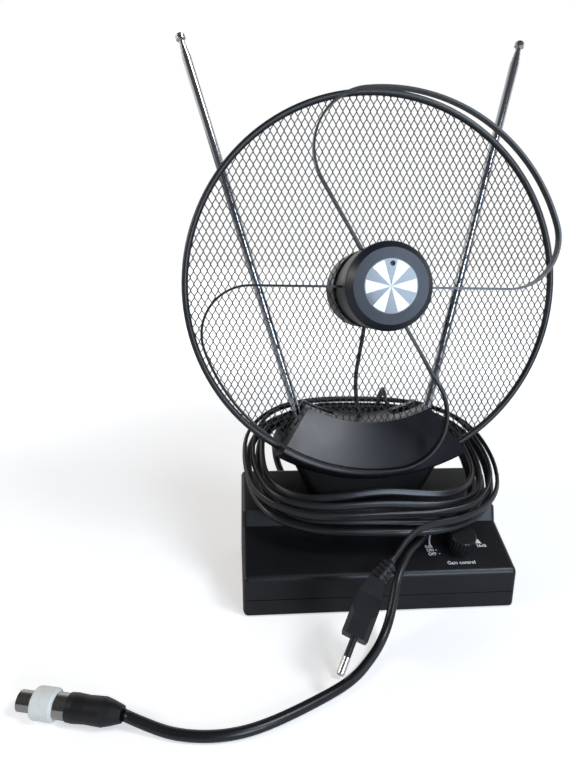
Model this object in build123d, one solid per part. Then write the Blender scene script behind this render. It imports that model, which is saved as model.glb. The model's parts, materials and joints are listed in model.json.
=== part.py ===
from build123d import *
from math import asin, atan2, cos, degrees, pi, radians, sin, tan
import os

# Amplified set-top television aerial, in millimetres.
# X is to the right, Y to the back, Z up. The origin is on the table, under the middle of the base.

# Base
base_w, base_d = 170.0, 86.0
foot_h, foot_r, foot_recess = 1.0, 5.0, 1.0
wall = 2.2
seam_z, seam_groove = 10.7, 0.5
front_top_z, back_top_z = 25.4, 61.4
riser_foot_z, riser_top_z = 41.4, 51.2
slope_d, riser_lean = 35.3, 2.9  # the front slope: its depth, and how far the riser leans back
edge_r, side_edge_r = 4.0, 3.0
post_in, post_r = 11.0, 3.6
screw_r, screw_head_r, screw_head_h = 1.4, 2.8, 1.8
foot_from_post = 14.0
fit = 0.05  # radial clearance round a screw, pin or shaft

# Electronics in the base
board_x, board_y, board_t, standoff_h, standoff_r = (-56.0, 44.0), (-30.0, 26.0), 1.6, 3.0, 3.0
can_x, can_y, can_h, can_t = (-50.0, -8.0), (-20.0, 12.0), 9.0, 0.4
core_x, core_y, core_h = (6.0, 38.0), (-4.0, 22.0), 22.0
bobbin_x, bobbin_y, bobbin_low, bobbin_high = (10.0, 34.0), (-9.0, 27.0), 3.0, 19.0
capacitor_r, capacitor_h, capacitor_y, capacitor_x = 4.0, 11.0, -18.0, (2.0, 13.0, 24.0)

# Neck between the base and the head
neck_back_gap, neck_foot_w, neck_foot_d = 2.0, 76.0, 32.0
neck_top_w, neck_top_d, neck_top_z = 112.0, 36.0, 88.0
neck_r, neck_wall = 9.0, 2.4
neck_y = base_d / 2 - neck_back_gap - neck_foot_d / 2

# Dish: a flat round grille in a wire rim, leaning back from its foot
rim_r, rim_tube_r, mesh_t = 121.1, 2.1, 1.2
dish_lean = 5.72
rim_foot_y, rim_foot_z = neck_y - 12.97, 72.0
dish_y = rim_foot_y + rim_r * sin(radians(dish_lean))
dish_z = rim_foot_z + rim_r * cos(radians(dish_lean))

# Hub on the dish axis
hub_r, hub_neck_r, hub_wall, hub_boss_r = 26.0, 24.5, 2.2, 4.5
hub_back_l, hub_step_l, hub_split_l, hub_face_l = -30.0, 16.0, 24.4, 45.4
cap_flat_r, cap_bevel_l, cap_top_t = 22.2, 42.0, 3.0
disc_r, disc_recess, disc_t, disc_gap = 15.9, 1.6, 1.4, 0.1
dimple_r, dimple_at, dimple_turn = 1.5, 13.0, 88.0
hub_screw_l = 12.0

# Flat-strip loops and the posts that hold their ends
strip_t, strip_w, strip_l = 1.3, 5.0, 27.0
loop_r, loop_first, loop_last = rim_r - 6.6, 122.0, 0.0
loop_bend_first, loop_bend_last, loop_root_r = 34.0, 29.2, 16.0
terminal_r, terminal_over, balun_t = 2.8, 1.0, 1.6

# Head that clamps the foot of the dish and holds the rods
head_top_r, head_top_l = rim_r - 32.6, 3.0
head_lip_r, head_lip_l, head_lip_t = rim_r - 1.8, 22.0, 2.4
head_floor_r, head_belly_l, head_back_l = rim_r + 5.9, 4.0, -34.0
head_half_top, head_side_slope, head_wall = 41.0, 36.5, 2.5
head_boss_r, head_boss_spots = 3.2, ((12.0, head_floor_r - 13.0), (28.0, head_floor_r - 17.0))

# Telescopic rods and the pockets they fold in
rod_u, rod_v, rod_l = 44.5, -head_top_r - 3.5, -20.0
rod_splay = {"left": 17.7, "right": -12.2}
rod_len, rod_r, rod_wall, rod_gap, rod_sections = 248.0, 3.0, 0.3, 0.1, 4
section_step, tip_r, tip_h = 3.0, 3.1, 4.6
knuckle_r, knuckle_w, pin_r, pin_clear, stub_len = 5.0, 7.0, 1.6, 0.06, 6.0
pocket_side, pocket_below, pocket_inner = 3.8, 3.0, 20.0
pocket_front, pocket_back = rod_l + knuckle_w / 2 + pocket_side, rod_l - knuckle_w / 2 - pocket_side
pocket_floor = rod_v - knuckle_r - pocket_below

# Gain knob on the front slope
knob_x, knob_from_front, knob_r, knob_h, knob_gap = 53.0, 17.2, 8.5, 12.0, 0.5
shaft_r, pot_r, pot_h, bush_r, shaft_clear = 3.0, 8.0, 7.0, 4.5, 0.06
knob_ribs, knob_rib_cut, knob_rib_skirt = 24, 0.5, 1.4

# Leads
coax_r, mains_r = 2.6, 2.0
ring_y, ring_z, ring_slope = neck_y - 10.0, rim_foot_z + 7.0, 25.0
ring_side_gap, ring_side_w, ring_in_y, ring_out_y = 1.9, 24.0, 41.0, 58.0
ring_out_r, ring_in_r, ring_edge_r = 50.0, 16.0, 2.5
coax_layer, mains_layer = (-10.5, -2.2), (-1.5, 7.0)
gland_x, gland_z, gland_r, gland_out, gland_tip_r = 45.0, 31.0, 5.5, 8.0, 3.6

riser_foot_y = slope_d - base_d / 2
riser_top_y = riser_foot_y + riser_lean
knob_y = knob_from_front - base_d / 2
head_start_v = -head_top_r * cos(radians(27.5))
section_r = [rod_r - number * (rod_wall + rod_gap) for number in range(rod_sections)]
half_mesh = mesh_t / 2

dish = Plane(origin=(0, dish_y, dish_z), x_dir=(1, 0, 0),
             z_dir=(0, -cos(radians(dish_lean)), sin(radians(dish_lean))))
parts = {}


def in_dish(shape):
    """Carries a shape from the dish's own frame (right, up, towards the viewer) to the model's."""
    return dish.location * shape


def tube_of(outer, inner, low, high):
    """A straight tube along Z from low to high; inner 0 gives a solid rod."""
    bar = Pos(0, 0, (low + high) / 2) * Cylinder(outer, high - low)
    if inner:
        bar -= Pos(0, 0, (low + high) / 2) * Cylinder(inner, high - low + 2)
    return bar


def block(x, y, z):
    """A box from its two ends along X, Y and Z."""
    size = [abs(high - low) for low, high in (x, y, z)]
    middle = [(low + high) / 2 for low, high in (x, y, z)]
    return Pos(*middle) * Box(*size)


def turned(points):
    """A solid turned about Z from (radius, height) points."""
    outline = Polyline(*[(r, 0, h) for r, h in points], close=True)
    return revolve(make_face(outline), Axis.Z, 360)


def lead(name, points, radius):
    """A tube along straight runs joined by the largest tangent arcs that the runs allow."""
    spots = [Vector(*p) for p in points]
    runs = [b - a for a, b in zip(spots, spots[1:])]
    bends = []
    for before, after in zip(runs, runs[1:]):
        half_turn = radians(before.get_angle(after)) / 2
        bends.append(0.45 * min(before.length, after.length) / tan(half_turn))
    path = FilletPolyline(*points, radius=bends)
    tube = sweep(Plane(origin=path @ 0, z_dir=path % 0) * Circle(radius), path=path)
    print(name, "radii", [round(b) for b in bends], "length", round(path.length, 1),
          "volume ratio", round(tube.volume / (pi * radius ** 2 * path.length), 4))
    return tube


def on_slope(y):
    """Height of the front slope at a depth."""
    rise = (riser_foot_z - front_top_z) / (riser_foot_y + base_d / 2)
    return front_top_z + rise * (y + base_d / 2)


# ---- base: one outline, hollowed, then parted at the seam
def base_outline(inset):
    front, back = -base_d / 2, base_d / 2
    outline = make_face(Polyline(
        (front, foot_h), (front, front_top_z), (riser_foot_y, riser_foot_z),
        (riser_top_y, riser_top_z), (back, back_top_z), (back, foot_h), close=True))
    front_edge = outline.vertices().filter_by_position(Axis.X, front - 0.1, front + 0.1).sort_by(Axis.Y)[-1:]
    outline = fillet(outline.vertices().sort_by(Axis.Y)[-1:] + front_edge, edge_r)
    if inset:
        outline = offset(outline, -inset)
    upright = Plane(origin=(0, 0, 0), x_dir=(0, 1, 0), z_dir=(1, 0, 0))
    return extrude(upright * outline, base_w / 2 - inset, both=True)


base_block = base_outline(0)
base_sides = base_block.faces().sort_by(Axis.X)
base_block = fillet(base_sides[0].edges() + base_sides[-1].edges(), side_edge_r)
base_hollow = base_outline(wall)
shell = base_block - base_hollow
wide, deep, tall = (-base_w, base_w), (-base_d, base_d), 2 * back_top_z
groove = block(wide, deep, (seam_z, seam_z + seam_groove)) - block(
    (seam_groove - base_w / 2, base_w / 2 - seam_groove),
    (seam_groove - base_d / 2, base_d / 2 - seam_groove), (0, tall))

post_x, post_y = base_w / 2 - post_in, base_d / 2 - post_in
post_spots = [(x, y) for x in (-post_x, post_x) for y in (-post_y, post_y)]
foot_spots = [(x, y) for x in (foot_from_post - post_x, post_x - foot_from_post) for y in (-post_y, post_y)]
floor_z = foot_h + wall
board_z = floor_z + standoff_h
board_top = board_z + board_t
screw_depth = 8.5

cover = (shell & block(wide, deep, (seam_z, tall))) - groove
pan = shell & block(wide, deep, (0, seam_z))
for x, y in post_spots:
    cover += Pos(x, y, 0) * tube_of(post_r, 0, seam_z, tall) & base_hollow
    pan += Pos(x, y, 0) * tube_of(post_r, 0, floor_z - 0.5, seam_z)
for x, y in post_spots:
    cover -= Pos(x, y, 0) * tube_of(screw_r + fit, 0, seam_z - 1, seam_z + screw_depth + 0.5)
    pan -= Pos(x, y, 0) * tube_of(screw_r + fit, 0, 0, seam_z + 1)
    pan -= Pos(x, y, 0) * tube_of(screw_head_r + fit, 0, 0, foot_h + screw_head_h)
for x, y in foot_spots:
    pan -= Pos(x, y, 0) * tube_of(foot_r + fit, 0, 0, foot_h + foot_recess)
for x in (board_x[0] + 5, board_x[1] - 5):
    for y in (board_y[0] + 5, board_y[1] - 5):
        pan += Pos(x, y, 0) * tube_of(standoff_r, 0, floor_z - 0.5, board_z)

base_screw = tube_of(screw_head_r, 0, foot_h + 0.1, foot_h + screw_head_h) + tube_of(
    screw_r, 0, foot_h + 1, seam_z + screw_depth)
rubber_foot = tube_of(foot_r, 0, 0, foot_h + foot_recess)
rubber_foot = fillet(rubber_foot.edges().sort_by(Axis.Z)[:1], 0.4)
parts["base_screws"] = [Pos(x, y, 0) * base_screw for x, y in post_spots]
parts["rubber_feet"] = [Pos(x, y, 0) * rubber_foot for x, y in foot_spots]

# ---- electronics inside the base
parts["circuit_board"] = block(board_x, board_y, (board_z, board_top))
can_inside = block((can_x[0] + can_t, can_x[1] - can_t), (can_y[0] + can_t, can_y[1] - can_t),
                   (board_top - 1, board_top + can_h - can_t))
parts["amplifier_shield"] = block(can_x, can_y, (board_top, board_top + can_h)) - can_inside
parts["mains_transformer"] = block(core_x, core_y, (board_top, board_top + core_h)) + block(
    bobbin_x, bobbin_y, (board_top + bobbin_low, board_top + bobbin_high))
parts["filter_capacitors"] = [
    Pos(x, capacitor_y, 0) * tube_of(capacitor_r, 0, board_top, board_top + capacitor_h) for x in capacitor_x]

# ---- gain control: pot under the slope, its shaft and knob above
slope_angle = degrees(atan2(riser_foot_z - front_top_z, riser_foot_y + base_d / 2))
slope_plane = Plane(origin=(knob_x, knob_y, on_slope(knob_y)), x_dir=(1, 0, 0),
                    z_dir=(0, -sin(radians(slope_angle)), cos(radians(slope_angle))))
on_panel = slope_plane.location
pot_top = -wall - 0.05
cover -= on_panel * tube_of(bush_r + fit, 0, -wall - 3, 3)
pot = tube_of(pot_r, 0, pot_top - pot_h, pot_top) + tube_of(bush_r, 0, pot_top - 1, -0.2)
parts["gain_pot"] = on_panel * (pot - tube_of(shaft_r + shaft_clear, 0, pot_top - pot_h + 1.5, 3))
parts["gain_shaft"] = on_panel * tube_of(shaft_r, 0, pot_top - pot_h + 2, knob_gap + knob_h - 3)
knob = tube_of(knob_r, 0, knob_gap, knob_gap + knob_h)
knob = chamfer(knob.edges().group_by(Axis.Z)[-1], 0.8)
rib_cut = Pos(0, 0, knob_gap + knob_h / 2 + knob_rib_skirt) * Cylinder(knob_rib_cut + 0.35, knob_h)
knob -= PolarLocations(knob_r + 0.35, knob_ribs) * rib_cut
knob -= tube_of(shaft_r + 0.02, 0, 0, knob_gap + knob_h - 2.9)
parts["gain_knob"] = on_panel * knob

# ---- head: one sector-shaped envelope, parted at the dish
lip_back = (head_lip_r + 1.8, head_lip_l - head_lip_t + 0.6)
envelope = revolve(make_face(Polyline(*[(r, 0, l) for r, l in (
    (head_top_r, head_top_l), (head_lip_r, head_lip_l), lip_back, (head_floor_r, head_belly_l),
    (head_floor_r, head_back_l), (head_top_r, head_back_l))], close=True)), Axis.Z, 360)


def head_wedge(inset):
    """The space between the head's two flared sides."""
    slope = tan(radians(head_side_slope))
    flare = inset / cos(radians(head_side_slope))
    top_v, low_v = -head_top_r * 0.5, -head_floor_r - 10
    half = [head_half_top + (head_start_v - v) * slope - flare for v in (top_v, low_v)]
    corners = (-half[0], top_v), (half[0], top_v), (half[1], low_v), (-half[1], low_v)
    face = make_face(Polyline(*corners, close=True))
    return Pos(0, 0, -60) * extrude(face, 120)


head_block = envelope & head_wedge(0)
cavity = revolve(make_face(Polyline(*[(r, 0, l) for r, l in (
    (head_top_r + head_wall + 1, 0.5), (head_top_r + head_wall + 1, head_top_l - 1.2),
    (head_lip_r - 1.2, head_lip_l - 5.4), (head_floor_r - head_wall, head_belly_l - 1),
    (head_floor_r - head_wall, 0.5))], close=True)), Axis.Z, 360) & head_wedge(head_wall)
rim_room = Torus(rim_r, rim_tube_r + fit)
in_front = Pos(0, 0, half_mesh + 50) * Cylinder(300, 100)
behind = Pos(0, 0, -half_mesh - 50) * Cylinder(300, 100)
head_front = (head_block & in_front) - cavity - rim_room
head_rear = (head_block & behind) - rim_room
rear_cavity = revolve(make_face(Polyline(*[(r, 0, l) for r, l in (
    (head_top_r + head_wall, -0.5), (head_top_r + head_wall, pocket_front + head_wall),
    (head_floor_r - head_wall, pocket_front + head_wall), (head_floor_r - head_wall, -0.5))],
    close=True)), Axis.Z, 360) & head_wedge(head_wall)
head_rear -= rear_cavity
pin_high = pocket_front + head_wall
for side, name in ((-1, "pivot_pin_left"), (1, "pivot_pin_right")):
    pocket_x = (side * pocket_inner, side * head_floor_r)
    head_rear -= block(pocket_x, (pocket_floor, -head_top_r / 2), (pocket_back, pocket_front))
    on_rod = Pos(side * rod_u, rod_v, 0)
    head_rear -= on_rod * tube_of(pin_r + fit, 0, head_back_l + 1.6, pin_high + 1)
    parts[name] = in_dish(on_rod * tube_of(pin_r, 0, head_back_l + 1.8, pin_high - 0.4))

head_screw_spots = [(side * x, -v) for side in (-1, 1) for x, v in head_boss_spots]
screw_seat, screw_end = pocket_front - 2, head_belly_l + 2.3
for u, v in head_screw_spots:
    at = Pos(u, v, 0)
    head_front += at * tube_of(head_boss_r, 0, half_mesh, head_lip_l) & head_block
    head_front -= at * tube_of(screw_r + fit, 0, 0, screw_end + 0.5)
    head_rear += at * tube_of(head_boss_r, 0, pocket_front, -half_mesh)
    head_rear -= at * tube_of(screw_r + fit, 0, head_back_l - 1, 1)
    head_rear -= at * tube_of(screw_head_r + fit, 0, head_back_l - 1, screw_seat)
head_screw = tube_of(screw_head_r, 0, screw_seat - screw_head_h, screw_seat - 0.05) + tube_of(
    screw_r, 0, screw_seat - 1, screw_end)
parts["head_screws"] = [in_dish(Pos(u, v, 0) * head_screw) for u, v in head_screw_spots]

# ---- dish
mesh = Cylinder(rim_r - rim_tube_r * 0.7, mesh_t) - Torus(rim_r, rim_tube_r)
for u, v in head_screw_spots:
    mesh -= Pos(u, v, 0) * Cylinder(screw_r + 0.4, mesh_t * 3)
mesh -= Cylinder(screw_r + 0.6, mesh_t * 3)
parts["dish_mesh"] = in_dish(mesh)
parts["dish_rim"] = in_dish(Torus(rim_r, rim_tube_r))

# ---- hub: rear housing, body and cap on one axis
lead_hole_l, lead_hole_r = -21.0, 2.0
hub_rear = tube_of(hub_r, hub_r - hub_wall, hub_back_l, -half_mesh)
hub_rear += tube_of(hub_r, 0, hub_back_l, hub_back_l + hub_wall)
hub_rear = chamfer(hub_rear.edges().sort_by(Axis.Z)[:1], 1.2)
hub_rear += tube_of(hub_boss_r, 0, hub_back_l + 1, -half_mesh)
hub_rear -= tube_of(screw_r + fit, 0, hub_back_l - 1, 1)
hub_rear -= tube_of(screw_head_r + fit, 0, hub_back_l - 1, hub_back_l + hub_wall)
hub_rear -= Pos(0, -hub_r, lead_hole_l) * Rot(90, 0, 0) * Cylinder(lead_hole_r, 10)
parts["hub_rear"] = in_dish(hub_rear)

inside_r, floor_l = hub_neck_r - hub_wall, half_mesh + hub_wall
hub_body = turned([(0, half_mesh), (hub_neck_r, half_mesh), (hub_neck_r, hub_step_l),
                   (hub_r, hub_step_l + 1.5), (hub_r, hub_split_l), (inside_r, hub_split_l),
                   (inside_r, floor_l), (hub_boss_r, floor_l), (hub_boss_r, hub_screw_l), (0, hub_screw_l)])
hub_body -= tube_of(screw_r + fit, 0, -1, hub_screw_l - 1)
parts["hub_body"] = in_dish(hub_body)
parts["hub_screw"] = in_dish(tube_of(screw_head_r, 0, hub_back_l + 0.2, hub_back_l + hub_wall - 0.05)
                             + tube_of(screw_r, 0, hub_back_l + 2, hub_screw_l - 2))
balun_low, balun_top = hub_screw_l + 0.05, hub_screw_l + 0.05 + balun_t
parts["balun_board"] = in_dish(tube_of(inside_r - 0.1, 0, balun_low, balun_top))

cap_inner_l = cap_bevel_l - cap_top_t
cap = turned([(hub_r - hub_wall, hub_split_l), (hub_r, hub_split_l), (hub_r + 0.2, cap_bevel_l - 1.5),
              (hub_r - 0.3, cap_bevel_l), (cap_flat_r, hub_face_l), (disc_r, hub_face_l),
              (disc_r, hub_face_l - disc_recess), (0, hub_face_l - disc_recess), (0, cap_inner_l),
              (hub_r - hub_wall, cap_inner_l)])
disc = tube_of(disc_r - disc_gap, 0, hub_face_l - disc_recess, hub_face_l - disc_recess + disc_t)
disc -= Rot(0, 0, dimple_turn) * Pos(dimple_at, 0, hub_face_l) * Sphere(dimple_r)


# ---- loops: a flat strip along leg, bend, outer arc, bend, leg
def loop_path():
    def spot(radius, angle):
        return (radius * cos(radians(angle)), radius * sin(radians(angle)))

    pieces = []
    for leg, bend, turn in ((loop_first, loop_bend_first, -1), (loop_last, loop_bend_last, 1)):
        centre_r = loop_r - bend
        lag = degrees(asin(bend / centre_r))
        leg_r = (centre_r ** 2 - bend ** 2) ** 0.5
        pieces.append((leg, leg + turn * lag, leg_r))
    (first, first_arc, first_r), (last, last_arc, last_r) = pieces
    line_in = Line(spot(loop_root_r, first), spot(first_r, first))
    bend_in = TangentArc(spot(first_r, first), spot(loop_r, first_arc), tangent=line_in % 1)
    ends = spot(loop_r, first_arc), spot(loop_r, last_arc)
    outer = ThreePointArc(ends[0], spot(loop_r, (first_arc + last_arc) / 2), ends[1])
    bend_out = TangentArc(spot(loop_r, last_arc), spot(last_r, last), tangent=outer % 1)
    line_out = Line(spot(last_r, last), spot(loop_root_r, last))
    return Wire([line_in, bend_in, outer, bend_out, line_out])


path = loop_path()
section = Plane(origin=path @ 0, z_dir=path % 0, x_dir=(0, 0, 1)) * Rectangle(strip_w, strip_t)
strip = Pos(0, 0, strip_l) * sweep(section, path=path)
parts["loop_upper"] = in_dish(strip)
parts["loop_lower"] = in_dish(Rot(0, 0, 180) * strip)
parts["loop_terminals"] = []
strip_low, strip_high = strip_l - strip_w / 2, strip_l + strip_w / 2
terminal = tube_of(terminal_r, 0, balun_top, strip_high + terminal_over) - block(
    (-2 * terminal_r, 2 * terminal_r), (-strip_t / 2 - fit, strip_t / 2 + fit),
    (strip_low - fit, 2 * strip_high))
strip_room = Pos(hub_r, 0, strip_l) * Box(3 * hub_wall, strip_t + 0.2, strip_w + 0.2)
for angle in (loop_first, loop_last, loop_first + 180, loop_last + 180):
    cap -= Rot(0, 0, angle) * strip_room
    parts["loop_terminals"].append(in_dish(Rot(0, 0, angle) * Pos(loop_root_r + 2.5, 0, 0) * terminal))
parts["hub_cap"] = in_dish(cap)
parts["hub_disc"] = in_dish(disc)

# ---- down-lead from the hub to the head, held at both ends
lead_r = 1.4
down_points = [(0, -hub_r + 1.0, lead_hole_l), (-2.4, -42, lead_hole_l - 0.5), (-5.0, -58, lead_hole_l - 1),
               (-4.8, -74, lead_hole_l - 0.6), (-1.0, -head_top_r - 2.0, lead_hole_l)]
head_rear -= Pos(-1.0, -head_top_r - 2, lead_hole_l) * Rot(90, 0, 0) * Cylinder(lead_r + 0.5, 18)
parts["down_lead"] = in_dish(lead("down_lead", down_points, lead_r))

head_front = in_dish(head_front)
head_rear = in_dish(head_rear)
parts["head_front"] = head_front
parts["head_rear"] = head_rear


# ---- neck: a flared hollow column whose top is cut to the head's floor
def neck_solid(shrink):
    def ring(width, depth, z):
        return Pos(0, neck_y, z) * RectangleRounded(width - 2 * shrink, depth - 2 * shrink, neck_r - shrink)

    return loft([ring(neck_foot_w, neck_foot_d, riser_top_z), ring(neck_top_w, neck_top_d, neck_top_z)])


seat = in_dish(Pos(0, 0, (head_back_l + head_belly_l) / 2) * Cylinder(head_floor_r + 0.02, 200))
parts["neck"] = neck_solid(0) - neck_solid(neck_wall) - seat - base_block

# ---- glands at the back of the base
gland_y = base_d / 2
gland_neck_r, gland_lip_r = gland_r - 1.5, gland_r + 1
gland = turned([(1, -wall - 2), (gland_lip_r, -wall - 2), (gland_lip_r, -wall - fit),
                (gland_neck_r, -wall - fit), (gland_neck_r, fit), (gland_r, fit), (gland_tip_r, gland_out),
                (1, gland_out)])
facing_back = {side: Plane(origin=(side * gland_x, gland_y, gland_z), z_dir=(0, 1, 0)).location
               for side in (-1, 1)}
for side, name, radius in ((-1, "coax_gland", coax_r), (1, "mains_gland", mains_r)):
    cover -= facing_back[side] * tube_of(gland_neck_r + fit, 0, -2 * wall, wall)
    parts[name] = facing_back[side] * (gland - tube_of(radius + 0.02, 0, -2 * wall - 2, gland_out + 1))

parts["base_cover"] = cover
parts["base_pan"] = pan

# ---- telescopic rods
for side, name in ((-1, "left"), (1, "right")):
    place = Pos(side * rod_u, rod_v, rod_l) * Rot(0, 0, rod_splay[name]) * Rot(-90, 0, 0)
    knuckle = Rot(90, 0, 0) * Cylinder(knuckle_r, knuckle_w)
    knuckle += tube_of(section_r[0] - rod_wall, 0, 0, knuckle_r + stub_len)
    knuckle -= Rot(90, 0, 0) * Cylinder(pin_r + pin_clear, knuckle_w * 2)
    parts[f"rod_{name}_knuckle"] = in_dish(place * knuckle)
    low = knuckle_r + 0.2
    for number, radius in enumerate(section_r, 1):
        start = low if number == 1 else knuckle_r + stub_len + 0.5 * number
        top = rod_len + section_step * (number - 1)
        bore = radius - rod_wall if number < len(section_r) else 0
        parts[f"rod_{name}_section_{number}"] = in_dish(place * tube_of(radius, bore, start, top))
    top = rod_len + section_step * (len(section_r) - 1)
    tip = turned([(0, top), (section_r[-1], top), (tip_r, top + 1.2), (tip_r, top + tip_h - 1),
                  (tip_r - 1, top + tip_h), (0, top + tip_h)])
    parts[f"rod_{name}_tip"] = in_dish(place * tip)


# ---- leads wound round the neck: one closed ring each, lying on a slope, with free tails
# The head's lower corners stand where its flared sides meet its floor, x = c + m w and x^2 + w^2 = r^2.
side_m = tan(radians(head_side_slope))
side_c = head_half_top + head_start_v * side_m
corner_w = ((head_floor_r ** 2 * (1 + side_m ** 2) - side_c ** 2) ** 0.5 - side_m * side_c) / (1 + side_m ** 2)
ring_in_x = side_c + side_m * corner_w + ring_side_gap
ring_out_x = ring_in_x + ring_side_w


def winding(layer):
    low, high = layer
    flat = Plane(origin=(0, ring_y, ring_z)).rotated((ring_slope, 0, 0))
    stretch = 1 / cos(radians(ring_slope))
    outer = RectangleRounded(2 * ring_out_x, 2 * ring_out_y * stretch, ring_out_r)
    inner = RectangleRounded(2 * ring_in_x, 2 * ring_in_y * stretch, ring_in_r)
    ring = extrude(outer - inner, high - low)
    ring = fillet(ring.edges(), ring_edge_r)
    return flat.location * Pos(0, 0, low) * ring


parts["coax_winding"] = winding(coax_layer)
parts["mains_winding"] = winding(mains_layer)

gland_end = gland_y + gland_out
coax_in_points = [(-gland_x, gland_end, gland_z), (-46, 62, 32), (-51, 73, 40), (-57, 83, 53), (-58, 87, 68),
                  (-51, 86, 83), (-39, 79, 92), (-27, 69, 97)]
coax_points = [(31.2, -31, 48), (23.8, -32.5, 43.5), (15.5, -38, 38.5), (5.5, -53.4, 31.5), (1, -62.5, 20.5),
               (-2.9, -69, 11.5), (-8.5, -76.5, 5.4), (-16.5, -86.5, 2.9), (-30.4, -102.7, 2.7),
               (-54, -116.7, 2.7), (-78.7, -128.8, 2.7), (-96.8, -132.3, 2.7), (-114.8, -130.4, 2.7),
               (-128.7, -125.3, 3.6),
               (-141.5, -121.2, 7.4)]
mains_in_points = [(gland_x, gland_end, gland_z), (44, 62, 32), (41, 74, 40), (36, 83, 52), (30, 87, 67),
                   (25, 87, 83), (23, 84, 98), (25, 77, 108), (30, 70, 108)]
mains_points = [(40.6, -31.6, 62.5), (21.8, -45.3, 59), (8.3, -57.5, 56.8), (1.6, -66.2, 55),
                (-5.8, -74.7, 52.3)]
parts["coax_lead_in"] = lead("coax_lead_in", coax_in_points, coax_r)
parts["coax_cord"] = lead("coax_cord", coax_points, coax_r)
parts["mains_lead_in"] = lead("mains_lead_in", mains_in_points, mains_r)
parts["mains_cord"] = lead("mains_cord", mains_points, mains_r)

# ---- coaxial plug lying on the table
boot_len, sleeve_len, collar_len, nose_len = 26.0, 6.0, 11.0, 7.5
boot_r, sleeve_r, collar_r, nose_r, nose_wall, centre_pin_r = 6.4, 5.8, 7.35, 4.75, 0.5, 1.18
plug_clear, nose_floor, pin_short, collar_bore_r = 0.02, 2.0, 0.8, 4.55
along = Plane(origin=coax_points[-1], z_dir=Vector(-0.972, 0.234, 0)).location
sleeve_end = boot_len + sleeve_len
collar_end = sleeve_end + collar_len
nose_end = collar_end + nose_len
boot = turned([(0, 0), (coax_r + 1.2, 0), (boot_r - 1.0, 5), (boot_r, 9), (boot_r - 0.3, 17),
               (boot_r + 0.1, 23), (boot_r - 0.1, boot_len), (0, boot_len)])
plug_shell = tube_of(sleeve_r, 0, boot_len, sleeve_end)
plug_shell += tube_of(collar_bore_r - plug_clear, 0, sleeve_end, collar_end)
plug_shell += tube_of(nose_r, 0, collar_end, nose_end)
plug_shell -= tube_of(nose_r - nose_wall, 0, sleeve_end + nose_floor, nose_end + 1)
collar = tube_of(collar_r, collar_bore_r, sleeve_end, collar_end)
collar = fillet(collar.edges().filter_by(GeomType.CIRCLE).filter_by(lambda e: e.radius > nose_r + 1), 1.5)
parts["coax_plug_boot"] = along * boot
parts["coax_plug_shell"] = along * plug_shell
parts["coax_plug_collar"] = along * collar
parts["coax_plug_insulator"] = along * tube_of(
    nose_r - nose_wall - plug_clear, centre_pin_r + plug_clear, sleeve_end + nose_floor, collar_end)
parts["coax_plug_pin"] = along * tube_of(centre_pin_r, 0, sleeve_end + nose_floor, nose_end - pin_short)

# ---- two-pin mains plug leaning on its lower pin
face_at = Vector(-28.8, -94.9, 22.0)
plug_axis = Vector(-0.458, -0.523, -0.719).normalized()
plug_wide = Vector(0.160, 0.747, -0.646)
plug_wide = (plug_wide - plug_axis * plug_wide.dot(plug_axis)).normalized()
mains_frame = Plane(origin=face_at, x_dir=plug_wide, z_dir=plug_axis).location
body_t, body_rear_t, body_shoulder, body_edge = 13.7, 8.0, 18.0, 2.4
widths = [(0.0, 35.3), (10.0, 35.3), (22.0, 20.0), (32.0, 11.0)]
body_len = widths[-1][0]
pin_gap, pin_len, mains_pin_r, sleeve_on_pin, pin_root = 18.6, 19.0, 2.0, 10.0, 5.5
core_r, pin_sleeve_r = mains_pin_r - 0.6, mains_pin_r - 0.2
sides = (-pin_gap / 2, pin_gap / 2)


def plug_body():
    """The plan of the body, cut to the thickness that it has seen from its side."""
    right = [(w / 2, -back) for back, w in widths]
    left = [(-w / 2, -back) for back, w in reversed(widths)]
    plan = make_face(Plane.XZ * Polyline(*(right + left), close=True))
    thick, thin = body_t / 2, body_rear_t / 2
    side = make_face(Plane.YZ * Polyline(
        (-thick, 0), (thick, 0), (thick, -body_shoulder), (thin, -body_len),
        (-thin, -body_len), (-thick, -body_shoulder), close=True))
    return extrude(plan, body_t, both=True) & extrude(side, widths[0][1], both=True)


mains_body = chamfer(plug_body().edges().filter_by(Axis.Z), body_edge)
for x in sides:
    mains_body -= Pos(x, 0, 0) * tube_of(mains_pin_r, 0, -pin_root - 0.5, 1)
pin_sleeve = tube_of(pin_sleeve_r, core_r, -pin_root, sleeve_on_pin)
pin_end = tube_of(mains_pin_r, 0, sleeve_on_pin, pin_len)
pin = fillet(pin_end.edges().sort_by(Axis.Z)[-1:], 1.2)
pin += tube_of(core_r - 0.02, 0, -pin_root, sleeve_on_pin + 1)
parts["mains_plug_body"] = mains_frame * mains_body
parts["mains_pin_sleeves"] = [mains_frame * Pos(x, 0, 0) * pin_sleeve for x in sides]
parts["mains_pins"] = [mains_frame * Pos(x, 0, 0) * pin for x in sides]

relief_at = (mains_frame * Pos(0, 0, -body_len)).position
relief_run = Vector(*mains_points[-1]) - relief_at
relief_frame = Plane(origin=relief_at, z_dir=relief_run).location
relief_r, relief_tip_r, relief_rib_r, ribs, rib_pitch, rib_t = 3.9, 3.0, 4.9, 4, 2.7, 1.4
relief = turned([(0, -1.5), (relief_r, -1.5), (relief_r, 0), (relief_tip_r, relief_run.length),
                 (0, relief_run.length)])
for number in range(ribs):
    height = 1.2 + rib_pitch * number
    relief += tube_of(relief_rib_r - 0.25 * number, 0, height, height + rib_t)
parts["mains_strain_relief"] = relief_frame * relief - parts["mains_plug_body"]

# ---- write one file for each piece
os.makedirs("parts", exist_ok=True)
for name, shape in parts.items():
    solids = shape if isinstance(shape, list) else [shape]
    solids = [solid for piece in solids for solid in piece.solids()]
    export_step(Compound(children=solids, label=name), f"parts/{name}.step")
print(len(parts), "pieces")
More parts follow.
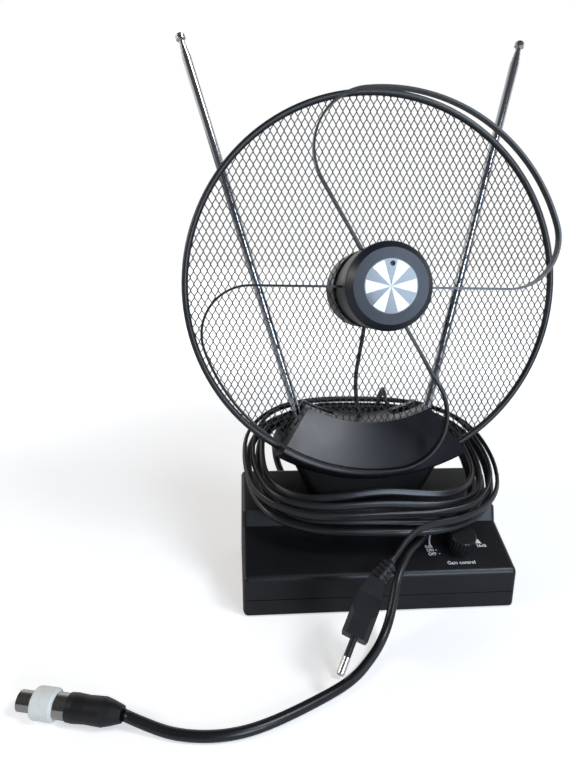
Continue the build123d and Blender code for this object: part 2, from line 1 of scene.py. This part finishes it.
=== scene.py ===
import json
from math import asin, atan2, cos, pi, radians, sin, sqrt, tan

import bpy
import numpy as np
from mathutils import Matrix, Vector


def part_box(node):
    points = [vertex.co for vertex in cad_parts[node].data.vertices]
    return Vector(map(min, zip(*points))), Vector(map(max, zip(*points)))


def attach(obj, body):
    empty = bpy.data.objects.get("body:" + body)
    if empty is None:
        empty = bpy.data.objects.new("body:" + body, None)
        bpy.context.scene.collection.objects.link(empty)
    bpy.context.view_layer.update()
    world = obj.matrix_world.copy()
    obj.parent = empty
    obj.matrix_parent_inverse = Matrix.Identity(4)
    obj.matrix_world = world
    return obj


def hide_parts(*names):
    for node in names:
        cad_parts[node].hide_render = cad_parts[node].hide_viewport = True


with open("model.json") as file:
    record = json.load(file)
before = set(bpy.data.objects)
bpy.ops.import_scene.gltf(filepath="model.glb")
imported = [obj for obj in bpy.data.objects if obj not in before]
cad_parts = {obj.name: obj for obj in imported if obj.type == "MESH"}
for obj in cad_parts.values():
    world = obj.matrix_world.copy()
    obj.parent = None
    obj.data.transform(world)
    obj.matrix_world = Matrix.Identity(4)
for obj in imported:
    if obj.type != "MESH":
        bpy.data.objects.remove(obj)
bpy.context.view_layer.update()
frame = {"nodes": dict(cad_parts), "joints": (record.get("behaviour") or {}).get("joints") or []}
nodes = frame["nodes"]
mm = 0.001
print("stage: frame loaded,", len(nodes), "nodes")


# ---------- places read from the frame

def middle(node):
    low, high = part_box(node)
    return (np.array(low) + np.array(high)) / 2


splayJoint = next(j for j in frame["joints"] if j["name"] == "rod_left_splay")
gainJoint = next(j for j in frame["joints"] if j["name"] == "gain_turn")
dish = {"centre": middle("dish_rim"), "normal": np.array(splayJoint["axis"])}
dish["right"] = np.array([1.0, 0.0, 0.0])
dish["up"] = np.cross(dish["normal"], dish["right"])
dish["lean"] = asin(dish["normal"][2])
dish["radius"] = (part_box("dish_rim")[1][0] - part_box("dish_rim")[0][0]) / 2


def onDish(points):
    # right, up and forward distances carried to the dish's plane
    points = np.asarray(points, float)
    axes = np.array([dish["right"], dish["up"], dish["normal"]])
    return dish["centre"] + points @ axes


# ---------- the camera

camera = {"place": (-0.09036, -0.34920, 0.21769), "yaw": 0.0966, "pitch": 0.2334, "roll": 0.0203, "lens": 27.0}


def setCamera(spec):
    yaw, pitch, roll = spec["yaw"], spec["pitch"], spec["roll"]
    ahead = Vector((sin(yaw) * cos(pitch), cos(yaw) * cos(pitch), -sin(pitch)))
    right = Vector((cos(yaw), -sin(yaw), 0))
    up = right.cross(ahead)
    tiltedRight = right * cos(roll) + up * sin(roll)
    tiltedUp = up * cos(roll) - right * sin(roll)
    data = bpy.data.cameras.new("camera")
    data.lens, data.sensor_width, data.clip_start = spec["lens"], 36.0, 0.01
    thing = bpy.data.objects.new("camera", data)
    bpy.context.scene.collection.objects.link(thing)
    turn = Matrix((tiltedRight, tiltedUp, -ahead)).transposed().to_4x4()
    thing.matrix_world = Matrix.Translation(spec["place"]) @ turn
    bpy.context.scene.camera = thing


setCamera(camera)
print("stage: camera")


# ---------- making meshes

def meshPiece(name, corners, faces, smooth=True, body="aerial"):
    data = bpy.data.meshes.new(name)
    data.from_pydata(np.asarray(corners).tolist(), [], faces)
    data.shade_smooth() if smooth else data.shade_flat()
    data.update()
    thing = bpy.data.objects.new(name, data)
    bpy.context.scene.collection.objects.link(thing)
    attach(thing, body)
    return thing


def gridFaces(rows, around, start=0):
    # quads of a grid whose second direction closes on itself, with both ends left to caps
    i, j = np.meshgrid(np.arange(rows - 1), np.arange(around), indexing="ij")
    nextJ = (j + 1) % around
    quads = np.stack([i * around + j, i * around + nextJ, (i + 1) * around + nextJ, (i + 1) * around + j], -1)
    return start + quads.reshape(-1, 4)


def sweptTube(path, across, over, section):
    # each point of the path carries the section: place + x * across + y * over
    x, y = section
    rings = path[:, None] + across[:, None] * x[None, :, None] + over[:, None] * y[None, :, None]
    rows, around = len(path), len(x)
    corners = np.concatenate([rings.reshape(-1, 3), path[:1], path[-1:]])
    faces = gridFaces(rows, around).tolist()
    j = np.arange(around)
    k = (j + 1) % around
    first, last = rows * around, rows * around + 1
    faces += np.stack([k, j, np.full(around, first)], -1).tolist()
    faces += np.stack([(rows - 1) * around + j, (rows - 1) * around + k, np.full(around, last)], -1).tolist()
    data = bpy.data.meshes.new("tube")
    data.from_pydata(corners.tolist(), [], faces)
    return data


def nurbsLine(points, fineness=6):
    data = bpy.data.curves.new("line", "CURVE")
    data.dimensions = "3D"
    data.resolution_u = fineness
    spline = data.splines.new("NURBS")
    spline.points.add(len(points) - 1)
    for spot, place in zip(spline.points, points):
        spot.co = (*[float(value) for value in place], 1.0)
    spline.order_u = 3
    spline.use_endpoint_u = True
    line = bpy.data.objects.new("line", data)
    bpy.context.scene.collection.objects.link(line)
    return line


# ---------- the two leads, wound round the neck

ring = {"centre": (0.0, 15 * mm, 79 * mm), "slope": radians(25), "inner": (66 * mm, 41 * mm),
        "outer": (90 * mm, 58 * mm), "square": (4.2, 2.6)}


def ringPoints(angles, share, height):
    # a superellipse |x/a|^n + |y/b|^n = 1 between the inner and outer outline, laid on the ring's slope
    a = ring["inner"][0] + share * (ring["outer"][0] - ring["inner"][0])
    b = ring["inner"][1] + share * (ring["outer"][1] - ring["inner"][1])
    n = ring["square"][0] + share * (ring["square"][1] - ring["square"][0])
    radius = (np.abs(np.cos(angles) / a) ** n + np.abs(np.sin(angles) / b) ** n) ** (-1 / n)
    x, y = radius * np.cos(angles), radius * np.sin(angles) / cos(ring["slope"])
    s, c = sin(ring["slope"]), cos(ring["slope"])
    centre = ring["centre"]
    return np.stack([centre[0] + x, centre[1] + y * c - height * s, centre[2] + y * s + height * c], -1)


def woundTurns(spec):
    # the angle runs clockwise, and the lead moves across the ring by a share of its width each turn
    count = round(spec["turns"] * spec["perTurn"])
    run = np.linspace(0, 1, count)
    angles = radians(spec["start"]) - run * spec["turns"] * 2 * pi
    turn = run * spec["turns"]
    share = spec["shareFrom"] + (spec["shareTo"] - spec["shareFrom"]) * run
    share = share + spec["loose"] * np.sin(angles + spec["phase"]) * (0.6 + 0.4 * np.sin(2 * angles))
    height = spec["height"] + spec["rise"] * np.cos(pi * turn) + spec["sag"] * np.sin(3 * angles + spec["phase"])
    # the turns fan out at the front, the inner ones highest and nearest to the neck
    front = np.maximum(0, -np.sin(angles)) ** 1.5
    inner = np.clip(1.15 - share, 0, 1)
    return ringPoints(angles, share - spec["tuck"] * front * inner, height + spec["fan"] * front * inner)


coaxLead = {
    "radius": 2.6 * mm, "inward": [(-45, 51, 31), (-46, 62, 32), (-51, 73, 40), (-57, 83, 53), (-58, 87, 68),
                                   (-51, 86, 83), (-39, 79, 92)],
    "outward": [(36, -19, 44), (25.0, -31.0, 41.0), (15.5, -39, 38), (5.5, -53.4, 31.5), (1, -62.5, 20.5), (-2.9, -69, 11.5),
                (-8.5, -76.5, 5.4), (-16.5, -86.5, 2.9), (-30.4, -102.7, 2.7), (-54, -116.7, 2.7),
                (-78.7, -128.8, 2.7), (-96.8, -132.3, 2.7), (-114.8, -130.4, 2.7), (-128.7, -125.3, 3.6),
                (-141.5, -121.2, 7.4)],
    "wound": {"start": 117, "turns": 2.46, "perTurn": 18, "shareFrom": 0.90, "shareTo": 0.16, "loose": 0.03,
              "phase": 0.7, "height": -6.6 * mm, "rise": 0.5 * mm, "sag": 0.5 * mm,
              "tuck": 0.10, "fan": 2.5 * mm}}
mainsLead = {
    "width": 4.8 * mm, "thick": 2.7 * mm,
    "inward": [(45, 51, 31), (44, 62, 32), (41, 74, 40), (36, 83, 52), (30, 87, 67), (25, 87, 83), (23, 85, 99),
               (25, 79, 110), (24, 69, 114)],
    "outward": [(21.8, -45.3, 59), (8.3, -57.5, 56.8), (1.6, -66.2, 55), (-5.8, -74.7, 52.3)],
    "wound": {"start": 62, "turns": 3.29, "perTurn": 18, "shareFrom": 0.10, "shareTo": 0.94, "loose": 0.03,
              "phase": 2.1, "height": 2.9 * mm, "rise": 1.5 * mm, "sag": 0.5 * mm,
              "tuck": 0.38, "fan": 12.0 * mm}}


def leadRoute(spec):
    inward, outward = np.array(spec["inward"]) * mm, np.array(spec["outward"]) * mm
    return np.concatenate([inward, woundTurns(spec["wound"]), outward])


def linePoints(route):
    # the smooth line of the route, read from its NURBS spline
    line = nurbsLine(route)
    data = bpy.data.meshes.new_from_object(line)
    spots = np.empty(len(data.vertices) * 3)
    data.vertices.foreach_get("co", spots)
    bpy.data.objects.remove(line)
    return spots.reshape(-1, 3)


def lengthOf(points):
    return float(np.linalg.norm(np.diff(points, axis=0), axis=1).sum())


def carriedAcross(points, firstAcross):
    # the width's direction, carried along the line without twist
    steps = np.gradient(points, axis=0)
    along = steps / np.linalg.norm(steps, axis=1)[:, None]
    across = [np.array(firstAcross, float)]
    for direction in along[1:]:
        flat = across[-1] - direction * (across[-1] @ direction)
        across.append(flat / np.linalg.norm(flat))
    across = np.array(across)
    return across, np.cross(along, across)


def makeLead(name, spec, section, solids):
    route = leadRoute(spec)
    points = linePoints(route)
    across, over = carriedAcross(points, (0, 0, 1))
    data = sweptTube(points, across, over, section)
    data.shade_smooth()
    lead = bpy.data.objects.new(name, data)
    bpy.context.scene.collection.objects.link(lead)
    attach(lead, "aerial")
    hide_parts(*solids)
    lengthOf(points)
    return lead


def makeCoax(spec):
    t = np.linspace(0, 2 * pi, 18, endpoint=False)
    section = spec["radius"] * np.cos(t), spec["radius"] * np.sin(t)
    return makeLead("coax_lead", spec, section, ["coax_lead_in", "coax_winding", "coax_cord"])


def makeMains(spec):
    # twin flex: an oval, x = w cos t and y = h sin t, with a shallow groove down the middle of each side
    t = np.linspace(0, 2 * pi, 16, endpoint=False)
    x = spec["width"] / 2 * np.cos(t)
    y = spec["thick"] / 2 * np.sin(t) * (1 - 0.28 * np.exp(-(x / (0.12 * spec["width"])) ** 2))
    return makeLead("mains_lead", spec, (x, y), ["mains_lead_in", "mains_winding", "mains_cord"])


coaxPiece = makeCoax(coaxLead)
mainsPiece = makeMains(mainsLead)
print("stage: leads")


# ---------- the dish's grille

grille = {"wide": 4.35 * mm, "high": 8.1 * mm, "strand": 0.34 * mm, "apart": 0.16 * mm, "turn": radians(1.4),
          "bow": 0.2 * mm, "along": 132, "sides": 5}


def grilleStrands(spec):
    # two sets of strands slanting by half a diamond's width over half its height, bowed upright at the crossings
    reach = dish["radius"] - 3.2 * mm
    slant = atan2(spec["wide"], spec["high"])
    rings = []
    for lean in (-1, 1):
        offsets = np.arange(-60, 61) * spec["wide"] * cos(slant)
        offsets = offsets[np.abs(offsets) < reach - 2 * mm]
        half = np.sqrt(reach ** 2 - offsets ** 2)
        s = np.linspace(-1, 1, spec["along"])[None] * half[:, None]
        along = np.array([lean * sin(slant), cos(slant)])
        side = np.array([cos(slant), -lean * sin(slant)])
        flat = s[..., None] * along + offsets[:, None, None] * side
        crossing = flat[..., 1] * 2 * pi * 2 / spec["high"]
        flat[..., 0] -= lean * spec["bow"] * np.sin(crossing)
        turned = np.stack([flat[..., 0] * cos(spec["turn"]) - flat[..., 1] * sin(spec["turn"]),
                           flat[..., 0] * sin(spec["turn"]) + flat[..., 1] * cos(spec["turn"])], -1)
        around = np.arange(spec["sides"]) * 2 * pi / spec["sides"]
        out = np.stack([np.cos(around)[:, None] * side[0], np.cos(around)[:, None] * side[1],
                        np.sin(around)[:, None] * 1.0], -1)[:, 0] * spec["strand"]
        spots = np.concatenate([turned, np.full(turned.shape[:2] + (1,), lean * spec["apart"])], -1)
        rings.append(spots[:, :, None] + out[None, None])
    return np.concatenate(rings)


def makeGrille(spec):
    strands = grilleStrands(spec)
    count, along, sides = strands.shape[:3]
    one = gridFaces(along, sides)
    faces = (np.arange(count)[:, None, None] * along * sides + one[None]).reshape(-1, 4).tolist()
    ends = np.arange(count)[:, None] * along * sides + np.arange(sides)[None]
    faces += ends[:, ::-1].tolist()
    faces += (ends + (along - 1) * sides).tolist()
    piece = meshPiece("grille", onDish(strands.reshape(-1, 3)), faces)
    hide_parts("dish_mesh")
    return piece


grillePiece = makeGrille(grille)
print("stage: grille,", len(grillePiece.data.polygons), "faces")


# ---------- words and signs beside the knob

panel = {"origin": np.array(gainJoint["pos_m"]), "normal": np.array(gainJoint["axis"]), "lift": 0.06 * mm}
panel["right"] = np.array([1.0, 0.0, 0.0])
panel["up"] = np.cross(panel["normal"], panel["right"])
words = [("0dB", -22.2, -0.5, 2.2, "LEFT"), ("ON", -21.8, -3.2, 2.1, "LEFT"), ("OFF", -21.4, -6.1, 2.1, "LEFT"),
         ("36dB", 11.8, -1.0, 2.2, "LEFT"), ("Gain control", -2.0, -13.1, 2.4, "CENTER")]
dots = [(-15.6, -2.3, 0.35), (-14.0, -5.1, 0.35)]
scaleArc = {"radius": 18.6 * mm, "from": radians(176), "to": radians(136), "wide": (1.15 * mm, 0.35 * mm)}
wedge = [(12.6, 6.9), (11.5, 2.0), (15.9, 1.6), (14.6, 4.6)]


def onPanel(points, lift):
    points = np.asarray(points, float)
    return (panel["origin"] + points[:, :1] * panel["right"] + points[:, 1:2] * panel["up"]
            + lift * panel["normal"])


def makeWord(text, x, y, size, align):
    data = bpy.data.curves.new("word", "FONT")
    data.body, data.size, data.align_x, data.offset = text, size * mm / 0.72, align, 0.05 * mm
    data.space_character = 1.05
    thing = bpy.data.objects.new("word", data)
    bpy.context.scene.collection.objects.link(thing)
    flat = bpy.data.meshes.new_from_object(thing)
    bpy.data.objects.remove(thing)
    spots = np.empty(len(flat.vertices) * 3)
    flat.vertices.foreach_get("co", spots)
    spots = spots.reshape(-1, 3)[:, :2] + np.array([x, y]) * mm
    flat.vertices.foreach_set("co", onPanel(spots, panel["lift"]).ravel())
    flat.update()
    name = "word_" + text.lower().replace(" ", "_")
    piece = bpy.data.objects.new(name, flat)
    bpy.context.scene.collection.objects.link(piece)
    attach(piece, "aerial")
    return piece


def makeSigns():
    pieces = [makeWord(*word) for word in words]
    corners, faces = [], []
    for x, y, radius in dots:
        angles = np.linspace(0, 2 * pi, 20, endpoint=False)
        faces.append(list(range(len(corners), len(corners) + 20)))
        corners += (np.stack([x + radius * np.cos(angles), y + radius * np.sin(angles)], -1) * mm).tolist()
    # the scale: an arc whose width grows from one end to the other
    angles = np.linspace(scaleArc["from"], scaleArc["to"], 24)
    half = np.linspace(*scaleArc["wide"], 24) / 2
    start = len(corners)
    for sign in (-1, 1):
        radius = scaleArc["radius"] + sign * half
        corners += np.stack([radius * np.cos(angles), radius * np.sin(angles)], -1).tolist()
    faces += [[start + k, start + k + 1, start + 24 + k + 1, start + 24 + k] for k in range(23)]
    faces.append(list(range(len(corners), len(corners) + len(wedge))))
    corners += (np.array(wedge) * mm).tolist()
    pieces.append(meshPiece("gain_scale", onPanel(corners, panel["lift"]), faces, smooth=False))
    return pieces


signPieces = makeSigns()
print("stage: words and signs")


# ---------- finishes

class Link:
    # one socket, with the sums that the finishes use
    def __init__(self, shader, socket):
        self.shader, self.socket = shader, socket

    def sum(self, operation, *values):
        sockets = {number: value for number, value in enumerate(values)}
        return self.shader.add("ShaderNodeMath", sockets, operation=operation)

    def __add__(self, other):
        return self.sum("ADD", self, other)

    def __sub__(self, other):
        return self.sum("SUBTRACT", self, other)

    def __rsub__(self, other):
        return self.sum("SUBTRACT", other, self)

    def __mul__(self, other):
        return self.sum("MULTIPLY", self, other)

    def __truediv__(self, other):
        return self.sum("DIVIDE", self, other)

    def __gt__(self, other):
        return self.sum("GREATER_THAN", self, other)

    def __mod__(self, other):
        return self.sum("FLOORED_MODULO", self, other)

    def __pow__(self, other):
        return self.sum("POWER", self, other)

    __radd__ = __add__
    __rmul__ = __mul__


class Shader:
    # the nodes of one material, or of a world when it is given one
    def __init__(self, name, world=None):
        self.material = world or bpy.data.materials.new(name)
        self.material.use_nodes = True
        self.tree = self.material.node_tree
        self.tree.nodes.clear()

    def add(self, kind, sockets=(), out=0, stops=(), **settings):
        node = self.tree.nodes.new(kind)
        for name, value in settings.items():
            setattr(node, name, value)
        for number, (place, shade) in enumerate(stops):
            band = node.color_ramp.elements
            stop = band[number] if number < len(band) else band.new(place)
            stop.position, stop.color = place, (*shade, 1)
        for key, value in dict(sockets).items():
            if isinstance(value, Link):
                self.tree.links.new(value.socket, node.inputs[key])
            else:
                node.inputs[key].default_value = value
        return Link(self, node.outputs[out])

    def place(self):
        return self.add("ShaderNodeTexCoord", out="Object")

    def noise(self, scale, detail=3.0, rough=0.55, where=None):
        return self.add("ShaderNodeTexNoise", {"Vector": where or self.place(), "Scale": scale, "Detail": detail,
                                               "Roughness": rough}, out="Fac")

    def ramp(self, value, *stops):
        return self.add("ShaderNodeValToRGB", {"Fac": value}, stops=stops)

    def band(self, value, low, high):
        return self.add("ShaderNodeMapRange", {"Value": value, "From Min": low, "From Max": high},
                        interpolation_type="SMOOTHSTEP")

    def tint(self, share, first, second):
        sockets = {"Factor": share, 6: (*first, 1) if isinstance(first, tuple) else first,
                   7: (*second, 1) if isinstance(second, tuple) else second}
        return self.add("ShaderNodeMix", sockets, out=2, data_type="RGBA")

    def bump(self, height, strength, distance):
        return self.add("ShaderNodeBump", {"Height": height, "Strength": strength, "Distance": distance})

    def finish(self, **sockets):
        names = {name.replace("_", " "): value for name, value in sockets.items()}
        if "Base Color" in names and isinstance(names["Base Color"], tuple):
            names["Base Color"] = (*names["Base Color"], 1)
        surface = self.add("ShaderNodeBsdfPrincipled", names, out="BSDF")
        self.output(surface)
        return self.material

    def output(self, surface):
        end = self.tree.nodes.new("ShaderNodeOutputMaterial")
        self.tree.links.new(surface.socket, end.inputs["Surface"])


def mouldedPlastic(name, shade, worn, rough, grain=2600, depth=0.05):
    # fine moulded grain, faint hand marks in the gloss and specks of dust
    s = Shader(name)
    marks = s.noise(28, 4)
    smear = s.noise(160, 3)
    dust = s.band(s.noise(2100, 2), 0.70, 0.78)
    shift = s.tint(s.band(s.noise(45, 3), 0.35, 0.7), shade, worn)
    colour = s.tint(dust * 0.22, shift, (0.10, 0.10, 0.105))
    gloss = rough + 0.10 * (marks - 0.5) + 0.08 * (smear - 0.5) + 0.2 * dust
    relief = s.bump(s.noise(grain, 2), depth, 0.0001)
    return s.finish(Base_Color=colour, Roughness=gloss, Normal=relief, Specular_IOR_Level=0.4)


def enamelWire(name, shade, rough):
    # thick dipped coat: slow orange peel and a few thin chips of lighter metal
    s = Shader(name)
    peel = s.noise(520, 3)
    chips = s.band(s.noise(950, 3), 0.74, 0.79)
    colour = s.tint(chips * 0.6, shade, (0.16, 0.155, 0.15))
    return s.finish(Base_Color=colour, Roughness=rough + 0.18 * (peel - 0.5), Metallic=chips * 0.5,
                    Normal=s.bump(peel, 0.12, 0.0002), Coat_Weight=0.25, Coat_Roughness=0.25)


def chromeTube(name):
    # plate written darker than real chrome, a painted shade standing in for a dark room in its reflection, with
    # drawn streaks, thin smears and small dark pits
    s = Shader(name)
    smear = s.noise(90, 4)
    fine = s.noise(1900, 2)
    pits = s.band(s.noise(1300, 2), 0.72, 0.80)
    colour = s.tint(pits * 0.8, s.tint(smear, (0.58, 0.59, 0.61), (0.40, 0.41, 0.44)), (0.08, 0.075, 0.07))
    return s.finish(Base_Color=colour, Metallic=1 - 0.5 * pits, Roughness=0.07 + 0.12 * smear + 0.3 * pits,
                    Normal=s.bump(fine, 0.03, 0.0001))


def cableSheath(name, shade, rough):
    # soft extruded sheath: long dull patches, fine scuffs
    s = Shader(name)
    patch = s.noise(40, 4)
    scuff = s.band(s.noise(700, 4, 0.7), 0.60, 0.75)
    colour = s.tint(scuff * 0.4, s.tint(patch, shade, (0.012, 0.012, 0.014)), (0.045, 0.045, 0.05))
    return s.finish(Base_Color=colour, Roughness=rough + 0.16 * (patch - 0.5) + 0.12 * scuff,
                    Normal=s.bump(s.noise(1500, 3), 0.06, 0.0001))


def whiteNylon(name):
    s = Shader(name)
    grime = s.band(s.noise(260, 5), 0.50, 0.78)
    colour = s.tint(grime * 0.5, (0.84, 0.83, 0.78), (0.56, 0.54, 0.50))
    return s.finish(Base_Color=colour, Roughness=0.38 + 0.12 * grime, Normal=s.bump(s.noise(1200, 3), 0.08, 0.0001),
                    Subsurface_Weight=0.05)


def platedMetal(name, shade, rough):
    s = Shader(name)
    haze = s.noise(350, 4)
    scratch = s.band(s.noise(2400, 2), 0.64, 0.72)
    colour = s.tint(haze * 0.6, shade, tuple(0.72 * value for value in shade))
    return s.finish(Base_Color=colour, Metallic=1.0, Roughness=rough + 0.2 * (haze - 0.4) + 0.2 * scratch,
                    Normal=s.bump(s.noise(1600, 2), 0.04, 0.0001))


def laminate(name):
    s = Shader(name)
    weave = s.noise(800, 2)
    return s.finish(Base_Color=s.tint(weave, (0.05, 0.20, 0.09), (0.09, 0.30, 0.14)), Roughness=0.3 + 0.2 * weave,
                    Normal=s.bump(weave, 0.05, 0.0001))


def rubberFoot(name):
    s = Shader(name)
    grain = s.noise(1400, 4)
    return s.finish(Base_Color=s.tint(grain, (0.02, 0.02, 0.021), (0.05, 0.05, 0.05)), Roughness=0.75 + 0.2 * grain,
                    Normal=s.bump(grain, 0.2, 0.0002))


def sectorDisc(name):
    # six bright sectors and six dark ones, told apart by the angle round the hub's axis
    s = Shader(name)
    centre = dish["centre"]
    parts = s.add("ShaderNodeSeparateXYZ", {"Vector": s.place()}).socket.node.outputs
    x, y, z = [Link(s, part) for part in parts]
    up = (y - float(centre[1])) * float(dish["up"][1]) + (z - float(centre[2])) * float(dish["up"][2])
    right = x - float(centre[0])
    angle = up.sum("ARCTAN2", up, right) + radians(13)
    bright = 1 - ((angle % radians(60)) > radians(30))
    radius = (up * up + right * right) ** 0.5
    ringLine = s.band(radius, 15.1 * mm, 15.4 * mm)
    edgeGap = 1 - ringLine
    bright = bright * edgeGap
    foil = s.noise(600, 5, 0.7)
    colour = s.tint(bright, s.tint(foil, (0.016, 0.020, 0.026), (0.05, 0.065, 0.075)), (0.80, 0.82, 0.85))
    rough = 0.16 + 0.24 * bright + 0.15 * (foil - 0.5)
    return s.finish(Base_Color=colour, Roughness=rough, Metallic=bright * 0.15,
                    Normal=s.bump(foil, 0.10, 0.0002), Coat_Weight=0.5, Coat_Roughness=0.08)


def whitePrint(name):
    s = Shader(name)
    thin = s.band(s.noise(2600, 3), 0.62, 0.75)
    return s.finish(Base_Color=s.tint(thin * 0.5, (0.80, 0.80, 0.80), (0.35, 0.35, 0.36)), Roughness=0.45)


def paint(names, material):
    for name in names:
        thing = nodes[name] if isinstance(name, str) else name
        if thing.material_slots:
            for place in thing.material_slots:
                place.material = material
        else:
            thing.data.materials.append(material)


casePlastic = mouldedPlastic("case plastic", (0.0050, 0.0052, 0.0064), (0.0080, 0.0080, 0.0092), 0.36)
# the head's black is written bluer and lighter than the case's: a painted bluish sheen
headPlasticWithSheen = mouldedPlastic("head plastic with painted sheen", (0.0070, 0.0080, 0.0120), (0.010, 0.011, 0.015), 0.33, depth=0.03)
hubPlastic = mouldedPlastic("hub plastic", (0.0070, 0.0068, 0.0075), (0.011, 0.0105, 0.011), 0.40)
# the cap's black is written bluer and lighter than the hub's: a painted bluish sheen
capPlasticWithSheen = mouldedPlastic("cap plastic with painted sheen", (0.009, 0.012, 0.020), (0.012, 0.015, 0.023), 0.34, depth=0.03)
softMoulding = mouldedPlastic("soft moulding", (0.0075, 0.0075, 0.0085), (0.014, 0.014, 0.016), 0.45, 1800, 0.08)
sheath = cableSheath("cable sheath", (0.0055, 0.0055, 0.0065), 0.32)
grilleCoat = enamelWire("grille coat", (0.0065, 0.0065, 0.008), 0.44)
loopCoat = enamelWire("loop coat", (0.0055, 0.0055, 0.007), 0.36)
chrome = chromeTube("rod chrome")
tin = platedMetal("tinned metal", (0.72, 0.71, 0.69), 0.22)
plugMetal = platedMetal("plug metal", (0.40, 0.385, 0.37), 0.14)
zinc = platedMetal("zinc steel", (0.58, 0.58, 0.60), 0.35)
paint(["base_cover", "base_pan", "neck"], casePlastic)
paint(["head_front", "head_rear"], headPlasticWithSheen)
paint(["hub_rear", "hub_body", "gain_knob"], hubPlastic)
paint(["hub_cap"], capPlasticWithSheen)
paint(["hub_disc"], sectorDisc("sector disc"))
paint(["coax_gland", "mains_gland", "coax_plug_boot", "mains_plug_body", "mains_pin_sleeves",
       "mains_strain_relief"], softMoulding)
paint([coaxPiece, mainsPiece, "down_lead", "coax_lead_in", "coax_cord", "coax_winding", "mains_lead_in",
       "mains_cord", "mains_winding"], sheath)
paint([grillePiece, "dish_rim", "dish_mesh"], grilleCoat)
paint(["loop_upper", "loop_lower"], loopCoat)
paint([name for name in nodes if name.startswith("rod_")], chrome)
paint(["coax_plug_shell"], plugMetal)
paint(["coax_plug_pin", "mains_pins", "amplifier_shield", "loop_terminals"], tin)
paint(["base_screws", "head_screws", "hub_screw", "pivot_pin_left", "pivot_pin_right", "gain_shaft", "gain_pot",
       "mains_transformer"], zinc)
paint(["coax_plug_collar", "coax_plug_insulator"], whiteNylon("white nylon"))
paint(["circuit_board", "balun_board"], laminate("board laminate"))
paint(["filter_capacitors"], mouldedPlastic("capacitor sleeve", (0.01, 0.015, 0.06), (0.02, 0.03, 0.08), 0.3))
paint(["rubber_feet"], rubberFoot("foot rubber"))
paint(signPieces, whitePrint("white print"))
print("stage: finishes")


# ---------- floor, lamps and world

studio = {"floor": 6.0, "floorShade": 0.84, "glow": (0.50, 1.0), "fade": (0.30, 0.85), "dim": 0.10, "bright": 0.65,
          "sweep": (-0.15, 0.55), "rise": (0.35, 0.80),
          "lamps": [("window", (0.75, -1.75, 0.60), 0.8, 19.0, (0.66, 0.81, 1.0)),
                    ("key", (0.75, -0.65, 1.25), 0.45, 10.0, (0.86, 0.92, 1.0)),
                    ("warm", (-1.25, -0.35, 0.75), 0.40, 4.0, (1.0, 0.90, 0.80))]}


def makeFloor(spec):
    half = spec["floor"]
    data = bpy.data.meshes.new("floor")
    data.from_pydata([(-half, -half, 0), (half, -half, 0), (half, half, 0), (-half, half, 0)], [], [(0, 1, 2, 3)])
    floor = bpy.data.objects.new("floor", data)
    bpy.context.scene.collection.objects.link(floor)
    s = Shader("floor")
    shade = spec["floorShade"]
    place = s.add("ShaderNodeSeparateXYZ", {"Vector": s.place()}).socket.node.outputs
    x, y = Link(s, place[0]), Link(s, place[1])
    # the sweep grows to plain white away from the object, so that no far edge shows
    far = s.band((x * x + y * y) ** 0.5, *spec["fade"])
    near, white = spec["glow"]
    lit = s.add("ShaderNodeBsdfDiffuse", {"Color": (shade, shade, shade, 1)}, out="BSDF")
    glow = s.add("ShaderNodeEmission", {"Strength": near + (white - near) * far}, out="Emission")
    rays = s.add("ShaderNodeLightPath").socket.node.outputs
    shown = sum(Link(s, rays[f"Is {kind} Ray"]) for kind in ("Camera", "Transmission"))
    both = s.add("ShaderNodeAddShader", {0: lit, 1: glow})
    s.output(s.add("ShaderNodeMixShader", {0: shown, 1: lit, 2: both}))
    data.materials.append(s.material)


def makeLamps(spec):
    aim = Vector(dish["centre"] * np.array([1, 1, 0.6]))
    for name, place, size, power, shade in spec["lamps"]:
        data = bpy.data.lights.new(name, "AREA")
        data.shape, data.size, data.energy, data.color = "DISK", size, power, shade
        lamp = bpy.data.objects.new(name, data)
        bpy.context.scene.collection.objects.link(lamp)
        turn = (aim - Vector(place)).to_track_quat("-Z", "Y").to_matrix().to_4x4()
        lamp.matrix_world = Matrix.Translation(place) @ turn


def makeWorld(spec):
    # a pale sweep behind and below the object, and a dim room overhead and in front
    bpy.context.scene.world = bpy.data.worlds.new("room")
    s = Shader("room", bpy.context.scene.world)
    towards = s.add("ShaderNodeSeparateXYZ", {"Vector": s.add("ShaderNodeTexCoord", out="Generated")})
    x, y, z = [Link(s, part) for part in towards.socket.node.outputs]
    sweep = s.band(y + 0.6 * x * x, *spec["sweep"]) * (1 - s.band(z, *spec["rise"]))
    soft = s.add("ShaderNodeBackground", {"Strength": spec["dim"] + (spec["bright"] - spec["dim"]) * sweep})
    white = s.add("ShaderNodeBackground", {"Strength": spec["dim"] + (1 - spec["dim"]) * sweep})
    clear = s.add("ShaderNodeBackground", {"Strength": 1.0})
    for ground in (soft, white, clear):
        ground.socket.node.inputs["Color"].default_value = (1, 1, 1, 1)
    rays = s.add("ShaderNodeLightPath").socket.node.outputs
    shown = s.add("ShaderNodeMixShader", {0: Link(s, rays["Is Glossy Ray"]), 1: soft, 2: white})
    through = Link(s, rays["Is Camera Ray"]) + Link(s, rays["Is Transmission Ray"])
    mixed = s.add("ShaderNodeMixShader", {0: through, 1: shown, 2: clear})
    end = s.tree.nodes.new("ShaderNodeOutputWorld")
    s.tree.links.new(mixed.socket, end.inputs["Surface"])


makeFloor(studio)
makeLamps(studio)
makeWorld(studio)
bpy.context.scene.view_settings.view_transform = "Standard"
print("stage: studio")

bpy.context.view_layer.update()
